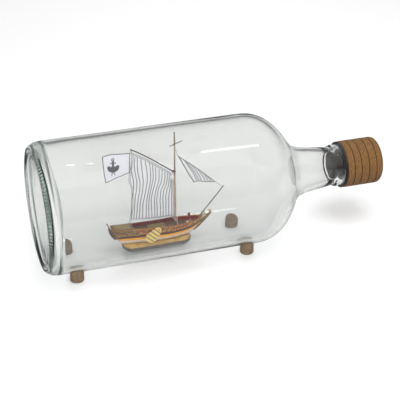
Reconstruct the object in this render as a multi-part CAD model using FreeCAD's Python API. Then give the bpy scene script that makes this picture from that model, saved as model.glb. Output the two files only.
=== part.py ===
import FreeCAD, Part
import math
import os

# Ship in a bottle: a model gaff-rigged yacht on a small plinth inside a clear
# glass bottle that lies on four drum feet and is closed by a turned wood stopper.
# Millimetres. X runs along the bottle from its base to its neck, Z is up,
# z = 0 is the resting plane and x = 0 is the middle of the whole length.

V = FreeCAD.Vector

# ---- driving dimensions -------------------------------------------------
LENGTH = 297.6            # base of the bottle to the end of the stopper
AXIS_Z = 60.0             # height of the bottle's axis above the resting plane
BOTTLE_R = 55.0           # outside radius of the body
WALL = 3.0                # body wall
BASE_RING_R = 47.8        # bearing ring of the base
PUSH_UP = 13.0            # depth of the hollow in the base
BODY_END = 180.0          # where the shoulder starts
NECK_R0, NECK_R1 = 19.7, 16.3
NECK_X0, NECK_X1 = 229.0, 254.5
LIP_R = 17.9
LIP_END = 262.0
BORE_R = 13.0

CAP_R = 20.0
CAP_ROUND = 4.0
RING_T = 2.6
PLUG_R = 12.93
PLUG_START = 256.0
PLUG_IN_CAP = 8.0
GROOVE_X = [270.6, 276.8, 283.8, 290.6]
GROOVE_W = 0.6
GROOVE_D = 0.4

FOOT_R = 5.75
FOOT_X = (26.5, 174.0)
FOOT_Y = 20.0

PLINTH_X0, PLINTH_X1 = 69.8, 129.6
PLINTH_HALF = 8.9
PLINTH_TOP = -46.0        # measured from the bottle's axis
BOARD_T = 0.9
BOARD_INSET = 0.7

KEEL_Z = -46.0
WALE_GROW = 0.25
BULWARK = 0.7
DECK_DROP = 3.4
DECK_T = 0.6
RAIL_T = 0.45
RAIL_W = 1.15
CABIN_X1 = 77.0

MAST_X = 116.5
MAST_PIVOT_Z = -31.6
MAST_TOP_Z = 51.4
MAST_R = 0.8
MAST_SPLIT_Z = 14.0
PIN_R = 0.30
RUN = 0.05                # running clearance of the small pins

GAFF_PIVOT = (114.7, 16.9)
GAFF_R = 0.48
GAFF_LINE = [(110.9, 20.1), (106.7, 23.3), (95.8, 31.5), (87.5, 37.2), (79.3, 42.0)]

SAIL_T = 0.3
THREAD_R = 0.16

LEE_PIVOT = (99.8, -31.7)
LEE_T = 0.6
LEE_Y = 7.9               # inner face of the board
LEE_ANGLE = 43.0          # rest angle, aft of straight down

STOCK_R = 0.35

os.makedirs("parts", exist_ok=True)


def P(x, y, z):
    """Bottle coordinates (x from the base, z from the axis) to the part frame."""
    return V(x - LENGTH / 2.0, y, z + AXIS_Z)


def out(shape, name):
    shape = shape.removeSplitter() if name in ("glass_bottle",) else shape
    if shape.ShapeType == "Compound" and len(shape.Solids) == 1:
        shape = shape.Solids[0]
    print(name, "solids", len(shape.Solids), "vol %.2f" % shape.Volume, "valid", shape.isValid())
    shape.exportStep("parts/%s.step" % name)


def wire(pts, close=True):
    pts = list(pts)
    if close:
        pts.append(pts[0])
    return Part.makePolygon(pts)


def turned(profile):
    """Solid of revolution about the bottle's axis from an (x, r) profile of edges."""
    f = Part.Face(Part.Wire(profile))
    return f.revolve(P(0, 0, 0), V(1, 0, 0), 360)


def xr(x, r):
    return P(x, 0, r)


def line(a, b):
    return Part.LineSegment(xr(*a), xr(*b)).toShape()


def curve(pts, t0=None, t1=None):
    s = Part.BSplineCurve()
    if t0 is None:
        s.interpolate([xr(*p) for p in pts])
    else:
        s.interpolate(Points=[xr(*p) for p in pts], InitialTangent=V(t0[0], 0, t0[1]), FinalTangent=V(t1[0], 0, t1[1]))
    return s.toShape()


def polyturn(pts):
    return turned([line(pts[i], pts[(i + 1) % len(pts)]) for i in range(len(pts))])


def rod(a, b, r0, r1=None):
    d = b.sub(a)
    if r1 is None or abs(r1 - r0) < 1e-6:
        return Part.makeCylinder(r0, d.Length, a, d)
    return Part.makeCone(r0, r1, d.Length, a, d)


def plate(pts, y0, y1):
    """Polygon in the x-z plane, thickened from y0 to y1."""
    return Part.Face(wire([P(x, y0, z) for x, z in pts])).extrude(V(0, y1 - y0, 0))


def box(x0, x1, y0, y1, z0, z1):
    return Part.makeBox(x1 - x0, y1 - y0, z1 - z0, P(x0, y0, z0))


def fuse(shapes):
    s = shapes[0]
    for t in shapes[1:]:
        s = s.fuse(t)
    return s


# ---- glass bottle --------------------------------------------------------
outer = [
    curve([(PUSH_UP, 0.0), (PUSH_UP - 1.6, 14.0), (7.0, 28.0), (2.0, 40.5), (0.0, BASE_RING_R)], (0, 1), (-0.1, 1)),
    curve([(0.0, BASE_RING_R), (1.6, 51.6), (4.6, 54.0), (10.0, BOTTLE_R)], (0.1, 1), (1, 0)),
    line((10.0, BOTTLE_R), (BODY_END, BOTTLE_R)),
    curve([(BODY_END, BOTTLE_R), (187.5, 54.1), (196.0, 50.6), (204.0, 44.2), (211.0, 35.6), (215.6, 28.4),
           (221.0, 22.6), (NECK_X0, NECK_R0)], (1, 0), (1, -0.13)),
    line((NECK_X0, NECK_R0), (NECK_X1, NECK_R1)),
    curve([(NECK_X1, NECK_R1), (255.6, 17.2), (257.0, LIP_R)]),
    line((257.0, LIP_R), (261.2, LIP_R)),
    line((261.2, LIP_R), (LIP_END, LIP_R - 0.8)),
    line((LIP_END, LIP_R - 0.8), (LIP_END, BORE_R)),
    line((LIP_END, BORE_R), (254.0, BORE_R)),
    curve([(254.0, BORE_R), (250.0, 13.35), (240.0, 14.9), (228.5, 16.7), (219.4, 20.1), (213.2, 26.6), (208.6, 33.8), (201.9, 42.1),
           (194.5, 48.0), (186.7, 51.2), (BODY_END - 2.0, BOTTLE_R - WALL)], (-1, 0.02), (-1, 0)),
    line((BODY_END - 2.0, BOTTLE_R - WALL), (13.5, BOTTLE_R - WALL)),
    curve([(13.5, BOTTLE_R - WALL), (9.2, 50.6), (6.8, 47.0), (7.2, 40.0), (11.2, 28.0), (15.8, 14.0), (17.5, 0.0)], (-1, 0), (0, -1)),
    line((17.5, 0.0), (PUSH_UP, 0.0)),
]
glass = turned(outer)
if glass.Volume < 0:
    glass.reverse()
out(glass, "glass_bottle")

# ---- stopper -------------------------------------------------------------
cx0 = LIP_END + RING_T
cap_pts = [(cx0, 0.0), (cx0, CAP_R - 0.4), (cx0 + 0.4, CAP_R)]
for gx in GROOVE_X:
    cap_pts += [(gx - GROOVE_W / 2, CAP_R), (gx - GROOVE_W / 4, CAP_R - GROOVE_D), (gx + GROOVE_W / 4, CAP_R - GROOVE_D), (gx + GROOVE_W / 2, CAP_R)]
cap_edges = []
pts = cap_pts + [(LENGTH - CAP_ROUND, CAP_R)]
for i in range(len(pts) - 1):
    cap_edges.append(line(pts[i], pts[i + 1]))
c45 = math.cos(math.pi / 4)
cap_edges.append(Part.Arc(xr(LENGTH - CAP_ROUND, CAP_R), xr(LENGTH - CAP_ROUND + CAP_ROUND * c45, CAP_R - CAP_ROUND + CAP_ROUND * c45), xr(LENGTH, CAP_R - CAP_ROUND)).toShape())
cap_edges += [line((LENGTH, CAP_R - CAP_ROUND), (LENGTH, 0.0)), line((LENGTH, 0.0), (cx0, 0.0))]
cap = turned(cap_edges)
socket = Part.makeCylinder(PLUG_R, PLUG_IN_CAP, P(cx0, 0, 0), V(1, 0, 0))
cap = cap.cut(socket)
out(cap, "stopper_cap")
ring = polyturn([(LIP_END, PLUG_R), (LIP_END, CAP_R - 0.8), (LIP_END + 0.5, CAP_R - 0.2), (cx0, CAP_R - 0.2), (cx0, PLUG_R)])
out(ring, "stopper_ring")
plug = polyturn([(PLUG_START, 0), (PLUG_START, PLUG_R - 0.9), (PLUG_START + 1.2, PLUG_R), (cx0 + PLUG_IN_CAP, PLUG_R), (cx0 + PLUG_IN_CAP, 0)])
out(plug, "stopper_plug")

# ---- feet ----------------------------------------------------------------
solid_bottle = Part.makeCylinder(BOTTLE_R, LIP_END, P(0, 0, 0), V(1, 0, 0))
feet = []
for x in FOOT_X:
    for y in (-FOOT_Y, FOOT_Y):
        f = Part.makeCylinder(FOOT_R, 13.0, P(x, y, -AXIS_Z), V(0, 0, 1))
        low = [e for e in f.Edges if e.Curve.TypeId == "Part::GeomCircle" and e.Curve.Center.z < 0.1]
        f = f.makeFillet(1.1, low)
        feet.append(f.cut(solid_bottle))
out(Part.makeCompound([s for f in feet for s in f.Solids]), "feet")

# ---- plinth --------------------------------------------------------------


def pill(x0, x1, h, z0, z1):
    e = h * 0.72
    w = Part.Wire([
        Part.LineSegment(P(x0 + e, -h, z0), P(x1 - e, -h, z0)).toShape(),
        Part.Arc(P(x1 - e, -h, z0), P(x1, 0, z0), P(x1 - e, h, z0)).toShape(),
        Part.LineSegment(P(x1 - e, h, z0), P(x0 + e, h, z0)).toShape(),
        Part.Arc(P(x0 + e, h, z0), P(x0, 0, z0), P(x0 + e, -h, z0)).toShape()])
    return Part.Face(w).extrude(V(0, 0, z1 - z0))


inner = Part.makeCylinder(BOTTLE_R - WALL, BODY_END - 40.0, P(25.0, 0, 0), V(1, 0, 0))
board = pill(PLINTH_X0 + BOARD_INSET, PLINTH_X1 - BOARD_INSET, PLINTH_HALF - BOARD_INSET, PLINTH_TOP - BOARD_T, PLINTH_TOP)
def pill_wire(x0, x1, h, z):
    e = h * 0.72
    return Part.Wire([
        Part.LineSegment(P(x0 + e, -h, z), P(x1 - e, -h, z)).toShape(),
        Part.Arc(P(x1 - e, -h, z), P(x1, 0, z), P(x1 - e, h, z)).toShape(),
        Part.LineSegment(P(x1 - e, h, z), P(x0 + e, h, z)).toShape(),
        Part.Arc(P(x0 + e, h, z), P(x0, 0, z), P(x0 + e, -h, z)).toShape()])


base = Part.makeLoft([pill_wire(PLINTH_X0 + 3.6, PLINTH_X1 - 3.2, PLINTH_HALF - 1.7, -52.6), pill_wire(PLINTH_X0 + 0.4, PLINTH_X1 - 0.3, PLINTH_HALF - 0.2, -49.6),
                      pill_wire(PLINTH_X0, PLINTH_X1, PLINTH_HALF, PLINTH_TOP - BOARD_T)], True, True).common(inner)
studs = []
for sx, sy in ((82.0, -4.4), (114.4, -4.4)):
    studs.append(Part.makeCylinder(0.75, BOARD_T + 0.25, P(sx, sy, PLINTH_TOP - BOARD_T), V(0, 0, 1)))
for s in studs:
    board = board.cut(s)
out(board, "plinth_board")
out(base, "plinth_base")
out(Part.makeCompound(studs), "plinth_studs")

# ---- hull ----------------------------------------------------------------


def interp(tab, x):
    if x <= tab[0][0]:
        return tab[0][1]
    for (x0, a), (x1, b) in zip(tab, tab[1:]):
        if x <= x1:
            u = (x - x0) / (x1 - x0)
            return a + (b - a) * u
    return tab[-1][1]


STERN = [(-46.0, 70.5), (-45.2, 69.9), (-42.0, 67.8), (-38.9, 66.1), (-33.1, 62.6), (-28.5, 60.6), (-22.0, 58.4)]
STEM = [(-46.0, 127.0), (-45.2, 128.2), (-42.0, 132.0), (-38.7, 135.6), (-35.0, 138.3), (-31.0, 139.8), (-27.0, 140.6), (-22.0, 141.4)]
BEAM = [(-46.0, 2.6), (-45.2, 3.5), (-44.0, 4.9), (-42.0, 6.3), (-40.0, 6.95), (-37.0, 7.25), (-33.0, 7.3), (-22.0, 7.2)]
FULL = [(0.0, .54), (.06, .575), (.14, .64), (.25, .74), (.38, .86), (.52, .96), (.66, 1.0), (.78, .93), (.87, .755), (.935, .50), (.98, .22), (1.0, .07)]
FINE = [(0.0, .09), (.06, .22), (.14, .40), (.25, .62), (.38, .84), (.52, .97), (.66, 1.0), (.78, .84), (.87, .58), (.935, .34), (.98, .14), (1.0, .06)]
SHEER = [(50, -27.8), (57, -28.0), (67, -28.7), (74, -29.3), (84, -29.9), (92, -30.3), (105, -30.75), (117, -30.85), (130, -30.6), (136, -29.8), (141, -28.7), (160, -24.0)]
WALE_TOP = [(50, -38.3), (66, -38.4), (76, -38.6), (95, -38.6), (110, -38.4), (119, -37.8), (127, -36.9), (134, -35.7), (141, -34.2), (160, -30.0)]
WALE_LOW = [(50, -40.5), (66, -40.6), (76, -40.9), (95, -40.9), (110, -40.7), (119, -40.1), (127, -39.1), (134, -37.7), (141, -36.0), (160, -31.6)]


def fullness(z):
    return min(1.0, max(0.0, (z + 46.0) / 9.0))


def half(x, z, grow=0.0):
    xs, xb = interp(STERN, z), interp(STEM, z)
    t = min(1.0, max(0.0, (x - xs) / (xb - xs)))
    k = fullness(z)
    return (k * interp(FULL, t) + (1 - k) * interp(FINE, t)) * interp(BEAM, z) + grow


def waterline(z, grow=0.0, cut0=0.0, cut1=0.0):
    xs, xb = interp(STERN, z) - grow + cut0, interp(STEM, z) + grow - cut1
    xs0, xb0 = interp(STERN, z), interp(STEM, z)
    k = fullness(z)
    pts = []
    for (t, a), (_, b) in zip(FULL, FINE):
        x = xs + t * (xb - xs)
        t0 = min(1.0, max(0.0, (x - xs0) / (xb0 - xs0)))
        h = (k * interp(FULL, t0) + (1 - k) * interp(FINE, t0)) * interp(BEAM, z) + grow
        pts.append((x, max(h, 0.25)))
    s = Part.BSplineCurve()
    s.interpolate([P(x, -h, z) for x, h in pts])
    p = Part.BSplineCurve()
    p.interpolate([P(x, h, z) for x, h in reversed(pts)])
    (x0, h0), (x1, h1) = pts[0], pts[-1]
    return Part.Wire([s.toShape(), Part.LineSegment(P(x1, -h1, z), P(x1, h1, z)).toShape(), p.toShape(),
                      Part.LineSegment(P(x0, h0, z), P(x0, -h0, z)).toShape()])


def hull_loft(zs, grow=0.0, cut0=0.0, cut1=0.0):
    return Part.makeLoft([waterline(z, grow, cut0, cut1) for z in zs], True, True)


def under(tab, dz, low=-60.0, dx=0.0):
    """Everything below a line of the sheer, as a solid in the x-z plane."""
    pts = [(x + dx, z + dz) for x, z in tab]
    pts = [(tab[0][0], low)] + pts + [(tab[-1][0], low)]
    return plate(pts, -20.0, 20.0)


below_rail = under(SHEER, -RAIL_T)
below_deck = under(SHEER, -DECK_DROP)
below_slab = under(SHEER, -DECK_DROP - DECK_T)
fwd = box(CABIN_X1, 160, -20, 20, -60, 0)
aft = box(40, CABIN_X1, -20, 20, -60, 0)

keel = plate([(69.8, KEEL_Z), (127.2, KEEL_Z), (127.8, KEEL_Z + 0.6), (69.2, KEEL_Z + 0.6)], -0.6, 0.6)
out(keel, "keel")
LEVELS = [-45.4, -44.0, -42.4, -40.4, -37.0, -35.0, -32.0, -29.0, -26.0, -22.0]
HIGH = [-36.0, -32.0, -29.0, -26.0, -22.0]
whole = hull_loft(LEVELS)
below_wale, below_side = under(WALE_LOW, 0.0), under(WALE_TOP, 0.0)
bottom = whole.common(below_wale)
out(bottom, "hull_bottom")
wale = hull_loft(LEVELS, WALE_GROW).common(below_side).cut(below_wale)
out(wale, "wale")
side = whole.cut(below_side).common(below_rail)
well = hull_loft(HIGH, -BULWARK, BULWARK * 1.2, 2.2)
hollow = well.cut(below_slab)
side = side.cut(hollow.common(fwd)).cut(hollow.common(box(62.4, CABIN_X1, -20, 20, -60, 0)))
out(side, "topsides")

deck = well.common(below_deck).cut(below_slab).common(fwd)
out(deck, "deck")

# cabin under the poop, its bulkhead and its lightly cambered roof
cab = hollow.common(box(62.4, CABIN_X1, -20, 20, -60, 0)).common(below_rail)
bulk = cab.common(box(CABIN_X1 - 0.7, CABIN_X1, -20, 20, -60, 0))
cabin = cab.cut(bulk)
out(cabin, "cabin")
out(bulk, "cabin_bulkhead")
roof_top = under(SHEER, 0.3)
roof_low = below_rail
roof_region = hull_loft([-34.0, -30.0, -26.0, -22.0], -0.87, 1.2, 2.2)
roof = roof_region.common(roof_top).cut(roof_low).common(box(61.9, CABIN_X1 + 0.5, -20, 20, -60, 0))
out(roof, "cabin_roof")

# gunwale cap that runs round the sheer
rail_out = hull_loft(HIGH, 0.28)
rail_in = hull_loft(HIGH, -(RAIL_W - 0.28), 1.2, 2.2)
rail = rail_out.cut(rail_in).common(under(SHEER, 0.0)).cut(below_rail).cut(roof)
out(rail, "gunwale")

# stem knee, beakhead rails and scroll carving
knee = plate([(133.5, -42.2), (137.6, -38.9), (141.2, -35.1), (144.7, -31.7), (148.2, -27.6), (147.4, -27.0),
              (143.6, -30.0), (139.0, -32.2), (137.0, -36.4), (132.0, -42.4)], -0.6, 0.6)
knee = knee.cut(bottom).cut(wale).cut(side).cut(rail)
knee = max(knee.Solids, key=lambda s: s.Volume)
out(knee, "beakhead")
rails = []
for s in (-1, 1):
    a, m, b = P(137.2, s * 3.6, -30.4), P(142.5, s * 2.0, -30.2), P(147.2, s * 0.75, -27.6)
    c = Part.BSplineCurve()
    c.interpolate([a, m, b])
    e = c.toShape()
    prof = Part.Wire([Part.Circle(a, m.sub(a), 0.35).toShape()])
    rails.append(Part.Wire([e]).makePipeShell([prof], True, True))
rails = [r.cut(knee).cut(side).cut(rail) for r in rails]
rails = [max(r.Solids, key=lambda s: s.Volume) for r in rails]
out(Part.makeCompound(rails), "head_rails")

# bowsprit in its collar
BS0, BS1 = P(141.2, 0, -25.0), P(159.1, 0, -3.4)
bdir = BS1.sub(BS0)
bdir.normalize()
heel = BS0.sub(bdir * 5.6)
sprit = rod(heel, BS1, 0.42)
sprit = sprit.cut(knee).cut(side).cut(rail).cut(deck)
sprit = max(sprit.Solids, key=lambda s: s.Volume)
out(sprit, "bowsprit")
scroll = []
for s in (-1, 1):
    r0 = Part.makeTorus(1.35, 0.42, P(141.0, s * 0.95, -27.4), V(0, 1, 0))
    r1 = Part.makeTorus(0.85, 0.36, P(147.0, s * 0.95, -26.0), V(0, 1, 0))
    scroll += [r0, r1]
scroll.append(rod(P(141.0, -0.95, -28.75), P(141.0, 0.95, -28.75), 0.5))
scroll.append(rod(P(147.0, -0.95, -26.85), P(147.0, 0.95, -26.85), 0.42))
scroll.append(rod(P(138.6, 0, -29.6), P(141.4, 0, -28.9), 0.42))
sc = fuse(scroll).cut(knee).cut(side).cut(rail).cut(sprit).cut(rails[0]).cut(rails[1])
sc = Part.makeCompound([s for s in sc.Solids if s.Volume > 0.15])
out(sc, "scroll_carving")

# ---- deck furniture ------------------------------------------------------


def deck_z(x):
    return interp(SHEER, x) - DECK_DROP


def sit(x0, x1, y0, y1, h, sink=0.8):
    z = max(deck_z(x0), deck_z(x1))
    b = box(x0, x1, y0, y1, min(deck_z(x0), deck_z(x1)) - sink, z + h)
    return b.cut(below_deck)


coaming = sit(93.0, 106.5, -3.5, 3.5, 1.3)
out(coaming, "hatch_coaming")
zc = max(deck_z(93.0), deck_z(106.5)) + 1.3
grating = box(93.5, 106.0, -3.0, 3.0, zc, zc + 0.35)
out(grating, "hatch_grating")
chests = Part.makeCompound([sit(79.0, 81.4, -3.9, -1.9, 0.9), sit(126.0, 128.2, -1.1, 1.1, 1.0)])
out(chests, "deck_chests")
zl = deck_z(129.2) + 1.05
bitt = fuse([sit(129.7, 130.5, -2.8, -2.0, 1.7), sit(129.7, 130.5, 2.0, 2.8, 1.7), rod(P(130.1, -2.8, zl + 0.25), P(130.1, 2.8, zl + 0.25), 0.35)])
out(bitt, "windlass")
spare = rod(P(86.0, -4.3, deck_z(86) + 0.42), P(97.6, -4.3, deck_z(97) + 0.46), 0.28)
spare = spare.cut(below_deck)
chock = [sit(87.0, 87.5, -4.7, -3.9, 0.42).cut(spare), sit(95.6, 96.1, -4.7, -3.9, 0.42).cut(spare)]
out(spare, "spare_spar")
out(Part.makeCompound([s for c in chock for s in c.Solids]), "spar_chocks")
post = box(128.9, 130.9, 4.5, 5.6, -31.6, -28.0).cut(side).cut(rail).cut(deck)
out(max(post.Solids, key=lambda q: q.Volume), "rail_post")

# ---- mast and its tabernacle --------------------------------------------
cheeks = []
for s in (-1, 1):
    y0, y1 = sorted((s * (MAST_R + 0.12), s * (MAST_R + 0.82)))
    cheeks.append(box(MAST_X - 1.1, MAST_X + 1.1, y0, y1, -34.5, -30.3).cut(below_deck))
pin = rod(P(MAST_X, -MAST_R - 0.95, MAST_PIVOT_Z), P(MAST_X, MAST_R + 0.95, MAST_PIVOT_Z), PIN_R)
cheeks = [c.cut(pin) for c in cheeks]
out(Part.makeCompound([s for c in cheeks for s in c.Solids]), "tabernacle")
out(pin, "mast_pin")
low = rod(P(MAST_X, 0, MAST_PIVOT_Z), P(MAST_X, 0, MAST_SPLIT_Z), MAST_R)
heelball = Part.makeCylinder(MAST_R, 2 * MAST_R, P(MAST_X, -MAST_R, MAST_PIVOT_Z), V(0, 1, 0))
foot = Part.makeCylinder(MAST_R, 2 * MAST_R, P(MAST_X, 0, MAST_PIVOT_Z - MAST_R), V(0, 0, 1)).common(heelball)
low = low.fuse(foot).cut(rod(P(MAST_X, -3, MAST_PIVOT_Z), P(MAST_X, 3, MAST_PIVOT_Z), PIN_R + RUN))
out(low, "mast")
top = rod(P(MAST_X, 0, MAST_SPLIT_Z), P(MAST_X, 0, MAST_TOP_Z), MAST_R, 0.55)
tree = rod(P(112.3, 0, 39.9), P(123.1, 0, 43.4), 0.36)
top = top.cut(tree)
out(top, "topmast")
out(tree, "crosstree")

# gaff on a small gooseneck
gx, gz = GAFF_PIVOT
lug = []
for s in (-1, 1):
    y0, y1 = sorted((s * 0.62, s * 1.02))
    lug.append(box(gx - 0.6, MAST_X + 0.2, y0, y1, gz - 0.6, gz + 0.6))
band = Part.makeCylinder(MAST_R + 0.4, 1.2, P(MAST_X, 0, gz - 0.6), V(0, 0, 1))
gpin = rod(P(gx, -1.1, gz), P(gx, 1.1, gz), 0.25)
goose = fuse([band] + lug).cut(top).cut(low).cut(box(gx - 1.0, MAST_X - MAST_R - 0.36, -0.62, 0.62, gz - 0.7, gz + 0.7)).cut(gpin)
out(goose, "gooseneck")
out(gpin, "gaff_pin")
g0 = P(gx, 0, gz)
gaff_curve = Part.BSplineCurve()
gaff_curve.interpolate([P(gx, 0, gz)] + [P(x, 0, z) for x, z in GAFF_LINE])
t0 = P(GAFF_LINE[0][0], 0, GAFF_LINE[0][1]).sub(g0)
gaff = Part.Wire([gaff_curve.toShape()]).makePipeShell([Part.Wire([Part.Circle(g0, t0, GAFF_R).toShape()])], True, True)
eye = Part.makeCylinder(0.6, 0.96, g0.sub(V(0, 0.48, 0)), V(0, 1, 0))
gaff = gaff.fuse(eye).cut(Part.makeCylinder(0.25 + RUN, 4, g0.sub(V(0, 2, 0)), V(0, 1, 0)))
if len(gaff.Solids) > 1:
    gaff = max(gaff.Solids, key=lambda q: q.Volume)
out(gaff, "gaff")

# sails and flag
MAIN = [(MAST_X, 15.2), (MAST_X, -25.8), (96.4, -26.8), (77.0, -26.5), (76.8, -23.8), (78.4, -16.4), (79.2, 0.0),
        (79.2, 7.2), (77.2, 14.1), (77.6, 18.0), (79.0, 26.0), (80.2, 34.0), (79.7, 41.7)] + [p for p in reversed(GAFF_LINE[:-1])] + [(114.0, 16.9)]
main = plate(MAIN, -SAIL_T / 2, SAIL_T / 2).cut(gaff).cut(goose).cut(low).cut(top)
main = max(main.Solids, key=lambda s: s.Volume)
out(main, "mainsail")
jib_pts = [(119.1, 30.7), (136.0, 16.4), (152.4, 0.7), (142.6, 1.9), (132.7, 3.7), (128.8, 11.0), (124.6, 19.5)]
jib = plate(jib_pts, -SAIL_T / 2, SAIL_T / 2)
luff = [rod(P(MAST_X + 0.1, 0, 38.6), P(119.1, 0, 30.7), THREAD_R), rod(P(152.4, 0, 0.7), P(158.0, 0, -4.4), THREAD_R),
        rod(P(119.1, 0, 30.7), P(136.0, 0, 16.4), THREAD_R), rod(P(136.0, 0, 16.4), P(152.4, 0, 0.7), THREAD_R)]
luff = fuse(luff).cut(top).cut(tree).cut(sprit)
luff = max(luff.Solids, key=lambda s: s.Volume)
jib = jib.cut(luff)
jib = max(jib.Solids, key=lambda s: s.Volume)
out(jib, "jib")
out(luff, "jib_luff_rope")
sheet = rod(P(77.3, 0, -26.3), P(80.2, -2.9, deck_z(80.2) + 0.8), THREAD_R).cut(main).cut(chests).cut(roof)
sheet = max(sheet.Solids, key=lambda s: s.Volume)
out(sheet, "mainsheet")

FLAG = [(78.9, 39.3), (77.9, 21.8), (67.5, 18.6), (57.2, 16.0), (56.2, 28.0), (55.4, 40.0)]
FLAG_Y = -0.75
flag = plate(FLAG, FLAG_Y - SAIL_T / 2, FLAG_Y + SAIL_T / 2)
hal = rod(P(79.2, -0.2, 41.9), P(78.9, FLAG_Y, 39.3), THREAD_R).fuse(rod(P(78.9, FLAG_Y, 39.3), P(77.9, FLAG_Y, 21.6), THREAD_R))
hal = hal.cut(gaff)
hal = max(hal.Solids, key=lambda s: s.Volume)
flag = flag.cut(hal)
flag = max(flag.Solids, key=lambda s: s.Volume)
out(flag, "flag")
out(hal, "flag_halyard")

# shrouds, whose lower eyes turn on pins that lie on the fold axis of the mast
SHROUD_Y = 5.8
shr, spins = [], []
for s in (-1, 1):
    y = s * SHROUD_Y
    r = rod(P(MAST_X, y, MAST_PIVOT_Z), P(MAST_X, s * 0.4, 41.0), THREAD_R)
    r = r.fuse(rod(P(MAST_X, y - 0.25, MAST_PIVOT_Z), P(MAST_X, y + 0.25, MAST_PIVOT_Z), 0.48))
    r = r.cut(rod(P(MAST_X, y - 1.0, MAST_PIVOT_Z), P(MAST_X, y + 1.0, MAST_PIVOT_Z), 0.2 + RUN)).cut(top).cut(tree)
    shr.append(max(r.Solids, key=lambda q: q.Volume))
    p = rod(P(MAST_X, y - s * 0.5, MAST_PIVOT_Z), P(MAST_X, s * 7.1, MAST_PIVOT_Z), 0.2)
    p = p.fuse(rod(P(MAST_X, y - s * 0.5, MAST_PIVOT_Z), P(MAST_X, y - s * 0.3, MAST_PIVOT_Z), 0.36)).cut(side)
    spins.append(max(p.Solids, key=lambda q: q.Volume))
out(Part.makeCompound(shr), "shrouds")
out(Part.makeCompound(spins), "shroud_pins")

# ---- leeboards -----------------------------------------------------------
LEE_OUTLINE = [(-1.8, 0.0), (-1.3, 1.7), (0.5, 3.0), (4.0, 4.0), (8.0, 4.8), (11.2, 5.0), (13.5, 3.6), (14.3, 0.0),
               (13.5, -3.6), (11.2, -5.0), (8.0, -4.8), (4.0, -4.0), (0.5, -3.0), (-1.3, -1.7)]
lx, lz = LEE_PIVOT
ca, sa = math.cos(math.radians(LEE_ANGLE)), math.sin(math.radians(LEE_ANGLE))


def lee(u, v, y):
    return P(lx - u * sa + v * ca, y, lz - u * ca - v * sa)


pins = []
for s, nm in ((-1, "leeboard_starboard"), (1, "leeboard_port")):
    c = Part.BSplineCurve()
    c.interpolate(Points=[lee(u, v, s * LEE_Y) for u, v in LEE_OUTLINE], PeriodicFlag=True)
    b = Part.Face(Part.Wire([c.toShape()])).extrude(V(0, s * LEE_T, 0))
    hole = rod(P(lx, s * (LEE_Y - 1), lz), P(lx, s * (LEE_Y + 2), lz), 0.45 + RUN)
    out(b.cut(hole), nm)
    p = rod(P(lx, s * 6.6, lz), P(lx, s * (LEE_Y + LEE_T + 0.12), lz), 0.45)
    p = p.fuse(rod(P(lx, s * (LEE_Y + LEE_T + 0.12), lz), P(lx, s * (LEE_Y + LEE_T + 0.42), lz), 0.85))
    p = p.fuse(rod(P(lx, s * 6.6, lz), P(lx, s * (LEE_Y - 0.12), lz), 0.65))
    p = p.cut(side).cut(rail).cut(hull_loft(HIGH, -BULWARK, BULWARK * 1.2, 2.2))
    pins.append(max(p.Solids, key=lambda q: q.Volume))
out(Part.makeCompound(pins), "leeboard_pins")

# ---- rudder --------------------------------------------------------------
RAKE = 0.533


def ax_x(z):
    return 59.4 + (-28.5 - z) * RAKE


A0, A1 = P(ax_x(-23.4), 0, -23.4), P(ax_x(-40.6), 0, -40.6)
stock = rod(A1, A0, STOCK_R)
blade = plate([(ax_x(-28.0), -28.0), (ax_x(-40.4), -40.4), (63.0, -40.0), (60.4, -36.3), (58.9, -33.2), (58.3, -30.4), (57.9, -28.0)], -0.45, 0.45)
head = plate([(ax_x(-23.6) - 0.5, -23.6), (ax_x(-23.6) + 0.55, -23.5), (ax_x(-25.6) + 0.5, -25.6), (ax_x(-25.6) - 0.55, -25.7)], -0.55, 0.55)
adir = A1.sub(A0)
adir.normalize()
gud, notch = [], []
for z in (-31.6, -37.2):
    c = P(ax_x(z), 0, z)
    r = Part.makeCylinder(0.75, 1.1, c.sub(adir * 0.55), adir)
    strap = Part.makeBox(2.6, 0.9, 1.1, V(0, -0.45, -0.55))
    strap.rotate(V(0, 0, 0), V(0, 1, 0), math.degrees(math.atan(RAKE)))
    strap.translate(c)
    g = r.fuse(strap).cut(Part.makeCylinder(STOCK_R + RUN, 4, c.sub(adir * 2), adir)).cut(side).cut(wale).cut(bottom).cut(rail)
    gud.append(max(g.Solids, key=lambda q: q.Volume))
    notch.append(Part.makeCylinder(0.9, 1.4, c.sub(adir * 0.7), adir))
for n in notch:
    blade = blade.cut(n)
blade = blade.cut(stock)
blade = max(blade.Solids, key=lambda q: q.Volume)
head = head.cut(stock)
rud = Part.makeCompound(head.Solids)
out(blade, "rudder_blade")
out(stock, "rudder_stock")
out(rud, "rudder_head")
out(Part.makeCompound(gud), "gudgeons")
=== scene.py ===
import math

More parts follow.
